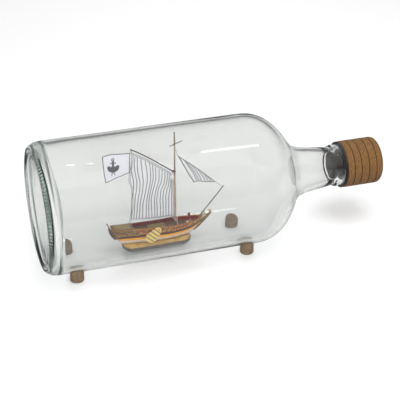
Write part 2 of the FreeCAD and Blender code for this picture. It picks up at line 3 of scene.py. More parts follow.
import bmesh
import bpy
import numpy as np
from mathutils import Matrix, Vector


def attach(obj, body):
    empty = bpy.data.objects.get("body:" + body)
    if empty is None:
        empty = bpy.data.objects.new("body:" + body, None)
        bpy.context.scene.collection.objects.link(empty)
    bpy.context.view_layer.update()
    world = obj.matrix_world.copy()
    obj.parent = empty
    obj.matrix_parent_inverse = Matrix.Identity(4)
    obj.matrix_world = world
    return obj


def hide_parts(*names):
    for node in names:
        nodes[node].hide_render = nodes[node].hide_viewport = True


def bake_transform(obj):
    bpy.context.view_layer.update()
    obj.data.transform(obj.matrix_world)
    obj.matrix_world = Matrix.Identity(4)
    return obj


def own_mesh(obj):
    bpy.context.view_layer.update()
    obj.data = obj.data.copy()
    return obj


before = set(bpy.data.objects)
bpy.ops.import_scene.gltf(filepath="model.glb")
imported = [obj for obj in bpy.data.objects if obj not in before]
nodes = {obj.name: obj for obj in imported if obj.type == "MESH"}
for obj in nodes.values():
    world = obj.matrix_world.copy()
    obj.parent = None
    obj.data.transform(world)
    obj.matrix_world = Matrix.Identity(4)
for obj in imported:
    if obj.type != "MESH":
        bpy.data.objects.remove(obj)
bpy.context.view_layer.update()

LENGTH, AXIS_Z = 297.6, 60.0
scene = bpy.context.scene


def to_frame(a):
    a = np.asarray(a, float)
    return (a + np.array([-LENGTH / 2, 0.0, AXIS_Z])) / 1000.0


def col(r, g, b):
    f = lambda c: (c / 255.0) / 12.92 if c <= 10 else ((c / 255.0 + 0.055) / 1.055) ** 2.4
    return (f(r), f(g), f(b), 1.0)


# ---- shader graphs -------------------------------------------------------
class Val:
    def __init__(self, g, sock):
        self.g, self.sock = g, sock

    def __add__(self, o):
        return self.g.math("ADD", self, o)

    __radd__ = __add__

    def __sub__(self, o):
        return self.g.math("SUBTRACT", self, o)

    def __rsub__(self, o):
        return self.g.math("SUBTRACT", o, self)

    def __mul__(self, o):
        return self.g.math("MULTIPLY", self, o)

    __rmul__ = __mul__

    def __truediv__(self, o):
        return self.g.math("DIVIDE", self, o)


class Graph:
    def __init__(self, name):
        self.mat = bpy.data.materials.new(name)
        self.mat.use_nodes = True
        self.t = self.mat.node_tree
        self.t.nodes.clear()
        self.out = self.node("ShaderNodeOutputMaterial")

    def node(self, kind, **kw):
        n = self.t.nodes.new(kind)
        for k, v in kw.items():
            setattr(n, k, v)
        return n

    def feed(self, socket, v):
        if isinstance(v, Val):
            self.t.links.new(v.sock, socket)
        elif v is not None:
            socket.default_value = v

    def math(self, kind, a, b=None, c=None, clamp=False):
        n = self.node("ShaderNodeMath", operation=kind, use_clamp=clamp)
        for i, v in enumerate((a, b, c)):
            if v is not None:
                self.feed(n.inputs[i], v)
        return Val(self, n.outputs[0])

    def pos(self):
        tc = self.node("ShaderNodeTexCoord")
        m = self.node("ShaderNodeVectorMath", operation="MULTIPLY_ADD")
        self.t.links.new(tc.outputs["Object"], m.inputs[0])
        m.inputs[1].default_value = (1000, 1000, 1000)
        m.inputs[2].default_value = (LENGTH / 2, 0, -AXIS_Z)
        s = self.node("ShaderNodeSeparateXYZ")
        self.t.links.new(m.outputs[0], s.inputs[0])
        return Val(self, m.outputs[0]), Val(self, s.outputs[0]), Val(self, s.outputs[1]), Val(self, s.outputs[2])

    def normal_y(self):
        n = self.node("ShaderNodeNewGeometry")
        s = self.node("ShaderNodeSeparateXYZ")
        self.t.links.new(n.outputs["Normal"], s.inputs[0])
        return Val(self, s.outputs[0]), Val(self, s.outputs[1]), Val(self, s.outputs[2])

    def attr(self, name):
        n = self.node("ShaderNodeAttribute", attribute_name=name)
        return Val(self, n.outputs["Fac"])

    def stretch(self, v, k):
        m = self.node("ShaderNodeVectorMath", operation="MULTIPLY")
        self.feed(m.inputs[0], v)
        m.inputs[1].default_value = k
        return Val(self, m.outputs[0])

    def noise(self, v, scale, detail=3.0, rough=0.55, stretch=None, distortion=0.0):
        if stretch is not None:
            v = self.stretch(v, stretch)
        n = self.node("ShaderNodeTexNoise")
        self.feed(n.inputs["Vector"], v)
        n.inputs["Scale"].default_value = scale
        n.inputs["Detail"].default_value = detail
        n.inputs["Roughness"].default_value = rough
        n.inputs["Distortion"].default_value = distortion
        return Val(self, n.outputs[0])

    def voronoi(self, v, scale, stretch=None):
        if stretch is not None:
            v = self.stretch(v, stretch)
        n = self.node("ShaderNodeTexVoronoi")
        self.feed(n.inputs["Vector"], v)
        n.inputs["Scale"].default_value = scale
        s = self.node("ShaderNodeSeparateColor")
        self.t.links.new(n.outputs["Color"], s.inputs[0])
        return Val(self, n.outputs["Distance"]), Val(self, s.outputs[0]), Val(self, s.outputs[1])

    def step(self, x, lo, hi, a=0.0, b=1.0):
        n = self.node("ShaderNodeMapRange", interpolation_type="SMOOTHSTEP")
        self.feed(n.inputs["Value"], x)
        n.inputs["From Min"].default_value = lo
        n.inputs["From Max"].default_value = hi
        n.inputs["To Min"].default_value = a
        n.inputs["To Max"].default_value = b
        return Val(self, n.outputs[0])

    def inside(self, x, lo, hi, soft=0.12):
        return self.step(x, lo - soft, lo + soft) * self.step(x, hi - soft, hi + soft, 1.0, 0.0)

    def curve(self, x, tab):
        xs = [p[0] for p in tab]
        zs = [p[1] for p in tab]
        x0, x1, z0, z1 = min(xs), max(xs), min(zs) - 0.1, max(zs) + 0.1
        n = self.node("ShaderNodeFloatCurve")
        c = n.mapping.curves[0]
        pts = [((a - x0) / (x1 - x0), (z - z0) / (z1 - z0)) for a, z in tab]
        c.points[0].location = pts[0]
        c.points[1].location = pts[-1]
        for p in pts[1:-1]:
            c.points.new(*p)
        n.mapping.update()
        self.feed(n.inputs["Value"], (x - x0) / (x1 - x0))
        return Val(self, n.outputs[0]) * (z1 - z0) + z0

    def mix(self, fac, a, b, kind="MIX"):
        n = self.node("ShaderNodeMix", data_type="RGBA", blend_type=kind)
        self.feed(n.inputs[0], fac)
        self.feed(n.inputs[6], a)
        self.feed(n.inputs[7], b)
        return Val(self, n.outputs[2])

    def white(self, v):
        n = self.node("ShaderNodeTexWhiteNoise", noise_dimensions="1D")
        self.feed(n.inputs["W"], v)
        return Val(self, n.outputs["Value"])

    def surface(self, color, rough=0.5, height=None, dist=0.1, strength=1.0, metal=0.0, coat=0.0, spec=0.5, emission=None):
        p = self.node("ShaderNodeBsdfPrincipled")
        self.feed(p.inputs["Base Color"], color)
        self.feed(p.inputs["Roughness"], rough)
        self.feed(p.inputs["Metallic"], metal)
        p.inputs["Coat Weight"].default_value = coat
        p.inputs["Coat Roughness"].default_value = 0.12
        p.inputs["Specular IOR Level"].default_value = spec
        if height is not None:
            b = self.node("ShaderNodeBump")
            b.inputs["Strength"].default_value = strength
            b.inputs["Distance"].default_value = dist / 1000.0
            self.feed(b.inputs["Height"], height)
            self.t.links.new(b.outputs[0], p.inputs["Normal"])
        self.t.links.new(p.outputs[0], self.out.inputs[0])
        return self.mat


def wood(name, dark, light, along="x", scale=0.5, rough=0.5, line=None, coat=0.0, contrast=(0.35, 0.65), depth=0.05):
    """Grain that runs along one axis; line=(pitch mm, axis, width share) adds planks."""
    g = Graph(name)
    v, x, y, z = g.pos()
    k = {"x": (0.12, 1, 1), "y": (1, 0.12, 1), "z": (1, 1, 0.12)}[along]
    n = g.noise(v, scale * 4, 4, 0.6, k)
    fine = g.noise(v, scale * 11, 2, 0.6, k)
    m = g.step(n * 0.7 + fine * 0.3, contrast[0], contrast[1])
    c = g.mix(m, dark, light)
    h = fine * 0.4 + n * 0.3
    if line:
        pitch, ax, width = line
        t = {"x": x, "y": y, "z": z}[ax] / pitch
        f = g.math("FRACT", t + 100.0)
        seam = g.step(g.math("ABSOLUTE", f - 0.5), 0.5 - width, 0.5)
        tone = g.white(g.math("FLOOR", t + 100.0))
        c = g.mix(g.step(tone, 0.0, 1.0, 0.0, 0.35), c, g.mix(0.5, c, dark))
        c = g.mix(seam * 0.75, c, tuple(0.35 * q for q in dark[:3]) + (1.0,))
        h = h - seam * 0.8
    return g.surface(c, rough, h, depth, 0.8, coat=coat)


def plain(name, a, b=None, rough=0.5, scale=2.0, metal=0.0, coat=0.0, depth=0.03, spec=0.5):
    g = Graph(name)
    v, x, y, z = g.pos()
    n = g.noise(v, scale, 3, 0.6)
    b = b or tuple(min(1.0, q * 0.75) for q in a[:3]) + (1.0,)
    return g.surface(g.mix(g.step(n, 0.3, 0.7), b, a), rough, n, depth, 0.6, metal=metal, coat=coat, spec=spec)


SHEER = [(50, -27.8), (57, -28.0), (67, -28.7), (74, -29.3), (84, -29.9), (92, -30.3), (105, -30.75), (117, -30.85), (130, -30.6), (136, -29.8), (141, -28.7)]
WALE_TOP = [(50, -38.3), (66, -38.4), (76, -38.6), (95, -38.6), (110, -38.4), (119, -37.8), (127, -36.9), (134, -35.7), (141, -34.2)]


def topsides_mat():
    g = Graph("topsides_painted")
    v, x, y, z = g.pos()
    nx, ny, nz = g.normal_y()
    h = z - g.curve(x, WALE_TOP)
    drop = g.curve(x, SHEER) - z
    grain = g.noise(v, 1.6, 3, 0.6, (0.25, 1, 1))
    spots, cell, cell2 = g.voronoi(v, 0.85, (1, 0.4, 1.1))
    band = g.mix(g.step(grain, 0.3, 0.7), col(52, 26, 18), col(88, 52, 34))
    red = g.mix(g.step(grain, 0.3, 0.7), col(122, 14, 10), col(186, 34, 22))
    # a run of dark roundels with gilt rims and small gilt dots between them
    f = g.math("FRACT", x / 4.3 + 100.2) - 0.5
    dx, dz = f * 4.3, h - 5.3
    r = g.math("SQRT", dx * dx + dz * dz)
    f2 = g.math("FRACT", x / 2.15 + 100.35) - 0.5
    ex, ez = f2 * 2.15, h - 3.7
    r2 = g.math("SQRT", ex * ex + ez * ez)
    e3 = h - 7.2
    r3 = g.math("SQRT", ex * ex + e3 * e3)
    gold = g.mix(g.step(grain, 0.3, 0.7), col(150, 100, 40), col(224, 178, 96))
    dark = col(26, 10, 8)
    frieze = g.mix(g.step(cell, 0.72, 0.78), red, gold)
    frieze = g.mix(g.step(cell2, 0.56, 0.62), frieze, dark)
    frieze = g.mix(g.step(r, 0.95, 1.2, 1.0, 0.0), frieze, gold)
    frieze = g.mix(g.step(r, 0.75, 0.95, 1.0, 0.0), frieze, dark)
    frieze = g.mix(g.step(r2, 0.4, 0.62, 1.0, 0.0), frieze, gold)
    frieze = g.mix(g.step(r3, 0.35, 0.55, 1.0, 0.0), frieze, gold)
    # carved and gilded quarter panel at the stern
    carve = g.noise(v, 0.9, 4, 0.65, (1, 0.5, 1), 1.5)
    quarter = g.mix(g.step(carve, 0.48, 0.58), col(58, 29, 12), col(182, 140, 76))
    px = g.math("FRACT", x / 5.2 + 100.1) - 0.5
    quarter = g.mix(g.inside(g.math("ABSOLUTE", px), 0.42, 0.6, 0.03), quarter, col(122, 84, 42))
    stern = g.step(x, 83.0, 84.5, 1.0, 0.0)
    c = g.mix(stern, frieze, quarter)
    bow = g.step(x, 124.0, 130.0)
    c = g.mix(bow * g.step(cell, 0.3, 0.4), c, g.mix(g.step(cell2, 0.5, 0.6), col(74, 44, 30), gold))
    low = g.step(h, 2.5, 2.8, 1.0, 0.0)
    c = g.mix(low, c, band)
    c = g.mix(g.inside(h, 2.65, 2.95, 0.1) * 0.8, c, gold)
    c = g.mix(g.step(drop, 0.9, 1.2, 1.0, 0.0) * 0.7, c, gold)
    inner = g.step(ny * g.math("SIGN", y), -0.35, -0.2, 1.0, 0.0)
    maroon = g.mix(g.step(grain, 0.3, 0.7), col(92, 12, 16), col(140, 30, 32))
    c = g.mix(inner, c, maroon)
    relief = carve * stern + g.step(r, 0.6, 1.1) + spots * 0.6
    return g.surface(c, 0.42, relief, 0.25, 0.7, coat=0.15)


def gunwale_mat():
    g = Graph("gunwale_wood")
    v, x, y, z = g.pos()
    grain = g.noise(v, 1.6, 3, 0.6)
    f = g.math("ABSOLUTE", g.math("FRACT", x / 1.9 + 100.0) - 0.5)
    base = g.mix(g.step(grain, 0.3, 0.7), col(84, 44, 24), col(134, 90, 48))
    bead = g.step(f, 0.16, 0.26, 1.0, 0.0)
    aft = g.step(x, 77.5, 78.5, 0.0, 1.0)
    c = g.mix(bead * aft, base, g.mix(g.step(grain, 0.3, 0.7), col(150, 22, 16), col(206, 150, 70)))
    return g.surface(c, 0.45, grain + bead, 0.12, 0.7)


def leeboard_mat():
    g = Graph("leeboard_painted")
    v, x, y, z = g.pos()
    a = math.radians(43.0)
    u = (x - 99.8) * (-math.sin(a)) - (z + 31.7) * math.cos(a)
    w = (x - 99.8) * math.cos(a) - (z + 31.7) * math.sin(a)
    grain = g.noise(v, 2.2, 3, 0.6)
    c = g.mix(g.step(grain, 0.3, 0.7), col(214, 180, 92), col(240, 216, 142))
    ink = None
    for q in (1.9, 5.1, 8.3, 11.4):
        l = g.inside(u, q - 0.34, q + 0.34, 0.12)
        ink = l if ink is None else g.math("MAXIMUM", ink, l)
    for q in (-2.4, 0.0, 2.4):
        l = g.inside(w, q - 0.1, q + 0.1, 0.12) * 0.55
        ink = g.math("MAXIMUM", ink, l)
    c = g.mix(ink, c, col(40, 28, 10))
    return g.surface(c, 0.45, grain - ink * 0.6, 0.06, 0.7, coat=0.1)


def cap_mat():
    g = Graph("cap_wood")
    v, x, y, z = g.pos()
    n = g.noise(v, 0.9, 5, 0.7, (1.0, 1, 1))
    fleck = g.noise(v, 3.4, 2, 0.6, (0.35, 1, 1))
    m = g.step(n * 0.45 + fleck * 0.55, 0.34, 0.66)
    c = g.mix(m, col(70, 46, 22), col(146, 106, 62))
    ink = None
    for q in (270.6, 276.8, 283.8, 290.6):
        l = g.inside(x, q - 0.3, q + 0.3, 0.16)
        ink = l if ink is None else g.math("MAXIMUM", ink, l)
    c = g.mix(ink * 0.9, c, col(34, 20, 10))
    return g.surface(c, 0.55, m - ink, 0.12, 0.6, spec=0.35)


def glass_mat(name, tint=(0.89, 0.893, 0.886, 1), through=0.93, absorb=24.0):
    g = Graph(name)
    p = g.node("ShaderNodeBsdfPrincipled")
    p.inputs["Base Color"].default_value = tint
    p.inputs["Transmission Weight"].default_value = 1.0
    p.inputs["Roughness"].default_value = 0.0
    p.inputs["IOR"].default_value = 1.5
    t = g.node("ShaderNodeBsdfTransparent")
    t.inputs["Color"].default_value = (through, through, through * 1.002, 1)
    lp = g.node("ShaderNodeLightPath")
    m = g.math("MAXIMUM", Val(g, lp.outputs["Is Shadow Ray"]), Val(g, lp.outputs["Is Diffuse Ray"]))
    mix = g.node("ShaderNodeMixShader")
    g.feed(mix.inputs[0], m)
    g.t.links.new(p.outputs[0], mix.inputs[1])
    g.t.links.new(t.outputs[0], mix.inputs[2])
    g.t.links.new(mix.outputs[0], g.out.inputs[0])
    if absorb:
        a = g.node("ShaderNodeVolumeAbsorption")
        a.inputs["Color"].default_value = (0.76, 0.84, 0.80, 1)
        a.inputs["Density"].default_value = absorb
        g.t.links.new(a.outputs[0], g.out.inputs["Volume"])
    return g.mat


def cloth_mat(name, base, ink, clear=0.25):
    g = Graph(name)
    v, x, y, z = g.pos()
    i = g.math("MINIMUM", g.attr("ink"), 1.0)
    weave = g.noise(v, 5.0, 2, 0.6)
    c = g.mix(i, g.mix(g.step(weave, 0.3, 0.7), tuple(q * 0.94 for q in base[:3]) + (1.0,), base), ink)
    d = g.node("ShaderNodeBsdfPrincipled")
    g.feed(d.inputs["Base Color"], c)
    d.inputs["Roughness"].default_value = 0.85
    d.inputs["Specular IOR Level"].default_value = 0.2
    tr = g.node("ShaderNodeBsdfTranslucent")
    g.feed(tr.inputs["Color"], c)
    b = g.node("ShaderNodeBump")
    b.inputs["Strength"].default_value = 0.3
    b.inputs["Distance"].default_value = 0.00004
    g.feed(b.inputs["Height"], weave)
    g.t.links.new(b.outputs[0], d.inputs["Normal"])
    m = g.node("ShaderNodeMixShader")
    m.inputs[0].default_value = clear
    g.t.links.new(d.outputs[0], m.inputs[1])
    g.t.links.new(tr.outputs[0], m.inputs[2])
    g.t.links.new(m.outputs[0], g.out.inputs[0])
    return g.mat


MATS = {
    "feet": plain("foot_wood", col(146, 124, 100), col(84, 68, 50), 0.7, 1.5, depth=0.2),
    "plinth_base": plain("plinth_black", col(84, 74, 72), col(62, 52, 52), 0.35, 0.8, coat=0.3),
    "plinth_board": wood("plinth_varnish", col(164, 122, 50), col(222, 188, 112), "x", 0.25, 0.25, coat=0.6),
    "plinth_studs": plain("stud_steel", col(70, 58, 50), col(46, 38, 34), 0.4, metal=0.6),
    "keel": plain("hull_white_keel", col(150, 120, 84), col(120, 92, 60), 0.5),
    "hull_bottom": plain("hull_white", col(232, 220, 208), col(214, 196, 182), 0.4, 0.6, coat=0.15),
    "wale": plain("wale_orange", col(246, 180, 30), col(230, 146, 16), 0.45, 0.8, coat=0.1),
    "topsides": topsides_mat(),
    # deck planks darker than the roof planks: the wood's own tone plus painted shade between the bulwarks
    "deck": wood("deck_wood", col(58, 40, 30), col(118, 92, 64), "x", 0.5, 0.6, line=(0.95, "y", 0.14)),
    "cabin": plain("cabin_wood", col(70, 48, 34), None, 0.6),
    "cabin_bulkhead": wood("bulkhead_wood", col(44, 28, 20), col(86, 60, 40), "z", 0.6, 0.5, line=(1.4, "y", 0.12)),
    "cabin_roof": wood("roof_wood", col(112, 92, 56), col(166, 146, 104), "x", 0.5, 0.6, line=(1.05, "y", 0.12)),
    "gunwale": gunwale_mat(),
    "beakhead": plain("gilt_wood_knee", col(110, 80, 46), col(58, 36, 20), 0.45, 1.4),
    "head_rails": plain("gilt_rail", col(176, 148, 96), col(108, 80, 40), 0.4, 1.5),
    "scroll_carving": plain("gilt_wood", col(206, 186, 138), col(130, 104, 54), 0.38, 1.3, depth=0.12),
    "bowsprit": wood("spar_dark", col(66, 56, 50), col(112, 98, 88), "z", 0.8, 0.5),
    "hatch_coaming": plain("coaming_brown", col(196, 160, 104), col(140, 104, 60), 0.5),
    "hatch_grating": wood("grating_wood", col(96, 78, 46), col(150, 130, 86), "y", 0.6, 0.6, line=(0.8, "x", 0.22)),
    "deck_chests": plain("fitting_pale", col(226, 206, 190), col(190, 160, 142), 0.5),
    "windlass": plain("fitting_brown", col(206, 170, 150), col(140, 96, 76), 0.5),
    "spare_spar": plain("spar_pale", col(220, 196, 156), col(180, 150, 108), 0.5),
    "spar_chocks": plain("chock_brown", col(140, 104, 66), None, 0.5),
    "tabernacle": plain("tabernacle_brown", col(126, 84, 54), col(86, 54, 34), 0.5),
    "mast_pin": plain("pin_brass", col(190, 156, 96), None, 0.3, metal=0.7),
    "shroud_pins": plain("pin_brass_shroud", col(214, 200, 180), None, 0.4, metal=0.3),
    "leeboard_pins": plain("pin_brass_lee", col(196, 162, 96), None, 0.3, metal=0.7),
    "gudgeons": plain("gudgeon_brown", col(110, 84, 54), None, 0.4, metal=0.4),
    "rail_post": plain("post_maroon", col(128, 58, 54), col(92, 34, 34), 0.5),
    "mast": wood("mast_wood", col(128, 98, 76), col(204, 182, 160), "z", 0.9, 0.55),
    "topmast": wood("mast_wood_top", col(84, 60, 46), col(138, 108, 86), "z", 0.9, 0.55),
    "crosstree": wood("crosstree_wood", col(70, 56, 48), col(120, 100, 86), "x", 0.9, 0.55),
    "gooseneck": plain("gooseneck_dark", col(70, 60, 54), None, 0.4, metal=0.4),
    "gaff_pin": plain("gaff_pin_brass", col(150, 126, 84), None, 0.35, metal=0.6),
    "gaff": wood("gaff_wood", col(52, 40, 34), col(96, 78, 66), "x", 0.9, 0.5),
    "shrouds": plain("thread_pale", col(236, 230, 220), col(206, 196, 184), 0.8, 6.0),
    "mainsheet": plain("thread_sheet", col(214, 200, 180), None, 0.8, 6.0),
    "flag_halyard": plain("thread_halyard", col(120, 116, 116), None, 0.8, 6.0),
    "rudder_blade": plain("rudder_brown", col(112, 88, 54), col(74, 50, 28), 0.45, 1.0, depth=0.08),
    "rudder_stock": plain("rudder_stock", col(122, 96, 62), col(84, 58, 34), 0.45),
    "rudder_head": plain("rudder_head", col(140, 122, 92), col(100, 80, 54), 0.45),
    "stopper_cap": cap_mat(),
    "stopper_ring": plain("ring_black", col(34, 30, 27), col(18, 15, 13), 0.3, 0.8, coat=0.4),
    "stopper_plug": plain("plug_dark", col(30, 20, 14), col(14, 9, 6), 0.5, 1.0, coat=0.1),
    "leeboard_starboard": leeboard_mat(),
}
MATS["leeboard_port"] = MATS["leeboard_starboard"]
for n, m in MATS.items():
    o = nodes[n]
    o.data.materials.clear()
    o.data.materials.append(m)


# ---- mesh helpers --------------------------------------------------------
def piece(name, verts, faces, material, body, smooth=True, attrs=None):
    me = bpy.data.meshes.new(name)
    me.from_pydata([tuple(v) for v in to_frame(verts)], [], [tuple(int(i) for i in f) for f in faces])
    me.validate()
    me.materials.append(material)
    if smooth:
        me.polygons.foreach_set("use_smooth", [True] * len(me.polygons))
    for k, a in (attrs or {}).items():
        at = me.attributes.new(k, "FLOAT", "POINT")
        at.data.foreach_set("value", np.asarray(a, np.float32))
    o = bpy.data.objects.new(name, me)
    scene.collection.objects.link(o)
    if body:
        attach(o, body)
    return o


def along(pts, t):
    """Points at shares t of the length of a polyline."""
    p = np.asarray(pts, float)
    d = np.r_[0, np.cumsum(np.linalg.norm(np.diff(p, axis=0), axis=1))]
    d /= d[-1]
    return np.stack([np.interp(t, d, p[:, k]) for k in range(p.shape[1])], 1)


def smooth_line(pts, n):
    """Centripetal Catmull-Rom through the points, evenly resampled."""
    p = np.asarray(pts, float)
    q = np.vstack([2 * p[0] - p[1], p, 2 * p[-1] - p[-2]])
    outp = []
    for i in range(1, len(q) - 2):
        p0, p1, p2, p3 = q[i - 1], q[i], q[i + 1], q[i + 2]
        t0 = 0.0
        t1 = t0 + max(1e-6, np.linalg.norm(p1 - p0)) ** 0.5
        t2 = t1 + max(1e-6, np.linalg.norm(p2 - p1)) ** 0.5
        t3 = t2 + max(1e-6, np.linalg.norm(p3 - p2)) ** 0.5
        for t in np.linspace(t1, t2, 24, endpoint=False):
            a1 = (t1 - t) / (t1 - t0) * p0 + (t - t0) / (t1 - t0) * p1
            a2 = (t2 - t) / (t2 - t1) * p1 + (t - t1) / (t2 - t1) * p2
            a3 = (t3 - t) / (t3 - t2) * p2 + (t - t2) / (t3 - t2) * p3
            b1 = (t2 - t) / (t2 - t0) * a1 + (t - t0) / (t2 - t0) * a2
            b2 = (t3 - t) / (t3 - t1) * a2 + (t - t1) / (t3 - t1) * a3
            outp.append((t2 - t) / (t2 - t1) * b1 + (t - t1) / (t2 - t1) * b2)
    outp.append(p[-1])
    return along(outp, np.linspace(0, 1, n))


def tube(name, pts, radius, material, body, sides=8, rings=None, attrs=False):
    p = np.asarray(pts, float)
    if rings:
        p = along(p, np.linspace(0, 1, rings))
    tang = np.gradient(p, axis=0)
    tang /= np.linalg.norm(tang, axis=1)[:, None]
    ref = np.array([0, 1.0, 0])
    verts, faces = [], []
    n = len(p)
    for i in range(n):
        a = np.cross(tang[i], ref)
        a /= np.linalg.norm(a)
        b = np.cross(tang[i], a)
        r = radius(i / (n - 1.0)) if callable(radius) else radius
        for k in range(sides):
            th = 2 * math.pi * k / sides
            verts.append(p[i] + r * (math.cos(th) * a + math.sin(th) * b))
    for i in range(n - 1):
        for k in range(sides):
            k2 = (k + 1) % sides
            faces.append((i * sides + k, i * sides + k2, (i + 1) * sides + k2, (i + 1) * sides + k))
    faces.append(tuple(range(sides - 1, -1, -1)))
    faces.append(tuple((n - 1) * sides + k for k in range(sides)))
    return piece(name, verts, faces, material, body)


# ---- glass bottle --------------------------------------------------------
OUTER = [(13.0, 0.0), (11.4, 14.0), (7.0, 28.0), (2.0, 40.5), (0.0, 47.8)]
HEEL = [(0.0, 47.8), (0.35, 49.8), (1.6, 51.8), (4.6, 54.0), (10.0, 55.0)]
SHOULDER = [(180.0, 55.0), (187.5, 54.1), (196.0, 50.6), (204.0, 44.2), (211.0, 35.6), (215.6, 28.4), (221.0, 22.6), (229.0, 19.7)]
NECK = [(229.0, 19.7), (254.5, 16.3)]
LIP = [(254.5, 16.3), (255.4, 17.0), (256.3, 17.7), (257.2, 17.9), (261.0, 17.9), (261.6, 17.75), (261.9, 17.4), (262.0, 16.9), (262.0, 13.6), (261.8, 13.15), (261.3, 13.0)]
BORE = [(261.3, 13.0), (254.0, 13.0)]
INNER_SH = [(254.0, 13.0), (250.0, 13.35), (240.0, 14.9), (228.5, 16.7), (219.4, 20.1), (213.2, 26.6), (208.6, 33.8), (201.9, 42.1), (194.5, 48.0), (186.7, 51.2), (178.0, 52.0)]
INNER = [(178.0, 52.0), (13.5, 52.0)]
INNER_BASE = [(13.5, 52.0), (11.2, 51.7), (9.2, 50.6), (6.8, 47.0), (7.2, 40.0), (11.2, 28.0), (15.8, 14.0), (17.5, 0.0)]


def bottle():
    segs = 864
    parts = [smooth_line(OUTER, 22), smooth_line(HEEL, 22)[1:], along([(10.0, 55.0), (180.0, 55.0)], np.linspace(0, 1, 9))[1:],
             smooth_line(SHOULDER, 26)[1:], along(NECK, np.linspace(0, 1, 4))[1:], np.array(LIP[1:]), np.array(BORE[1:]),
             smooth_line(INNER_SH, 26)[1:], along(INNER, np.linspace(0, 1, 5))[1:], smooth_line(INNER_BASE, 24)[1:]]
    prof = np.vstack(parts)
    is_out = np.zeros(len(prof), bool)
    is_out[:len(parts[0]) + len(parts[1])] = True
    th = np.arange(segs) * 2 * math.pi / segs
    n = len(prof)
    tang = np.gradient(prof, axis=0)
    norm = np.stack([-tang[:, 1], tang[:, 0]], 1)
    norm /= np.linalg.norm(norm, axis=1)[:, None]
    x = np.repeat(prof[:, :1], segs, 1)
    r = np.repeat(prof[:, 1:], segs, 1)
    beads = 108

    def row(r0, x0, half, depth, phase, sel):
        w = np.exp(-(((prof[:, 1] - r0) ** 2 + (prof[:, 0] - x0) ** 2) / half ** 2)) * sel
        b = np.maximum(0, np.cos(beads * th + phase)) ** 0.8
        return depth * w[:, None] * b[None, :]

    d = row(51.0, 1.0, 1.5, 0.95, 0.0, is_out) + row(45.6, 0.3, 1.1, 0.55, math.pi, is_out)
    x = x + d * norm[:, :1]
    r = r + d * norm[:, 1:]
    # slow waviness of moulded glass, strongest on the inside
    wob = np.where(is_out, 0.0, 0.10)
    inner = np.arange(n) >= n - 24 - 4 - 25
    a = np.where(inner, 0.22, 0.05)[:, None] * (np.sin(3 * th + 0.6)[None, :] * np.sin(prof[:, :1] / 31.0 + 0.4) + 0.5 * np.sin(7 * th + 1.1)[None, :] * np.sin(prof[:, :1] / 17.0))
    r = r + a * (prof[:, 1:] > 20) * (prof[:, :1] > 12)
    y, z = r * np.cos(th)[None, :], r * np.sin(th)[None, :]
    co = np.stack([x, y, z], 2).reshape(-1, 3)
    faces = []
    for i in range(n - 1):
        a0, b0 = i * segs, (i + 1) * segs
        for k in range(segs):
            k2 = (k + 1) % segs
            faces.append((a0 + k, a0 + k2, b0 + k2, b0 + k))
    me = bpy.data.meshes.new("glass_shell")
    me.from_pydata([tuple(v) for v in to_frame(co)], [], faces)
    bm = bmesh.new()
    bm.from_mesh(me)
    bmesh.ops.remove_doubles(bm, verts=bm.verts, dist=1e-7)
    bmesh.ops.recalc_face_normals(bm, faces=bm.faces)
    bm.to_mesh(me)
    bm.free()
    me.materials.append(glass_mat("clear_glass"))
    me.polygons.foreach_set("use_smooth", [True] * len(me.polygons))
    o = bpy.data.objects.new("glass_shell", me)
    scene.collection.objects.link(o)
    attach(o, "bottle")
    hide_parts("glass_bottle")
    return o


bottle()


# ---- cloth ---------------------------------------------------------------
def coons(foot, head, left, right, nu, nv):
    """Grid (nv, nu, 2); u runs from left to right, v from foot to head."""
    u, v = np.linspace(0, 1, nu), np.linspace(0, 1, nv)
    F, H, L, R = along(foot, u), along(head, u), along(left, v), along(right, v)
    U, W = u[None, :, None], v[:, None, None]
    return ((1 - W) * F[None] + W * H[None] + (1 - U) * L[:, None] + U * R[:, None]
            - ((1 - U) * (1 - W) * F[0] + U * (1 - W) * F[-1] + (1 - U) * W * H[0] + U * W * H[-1]))


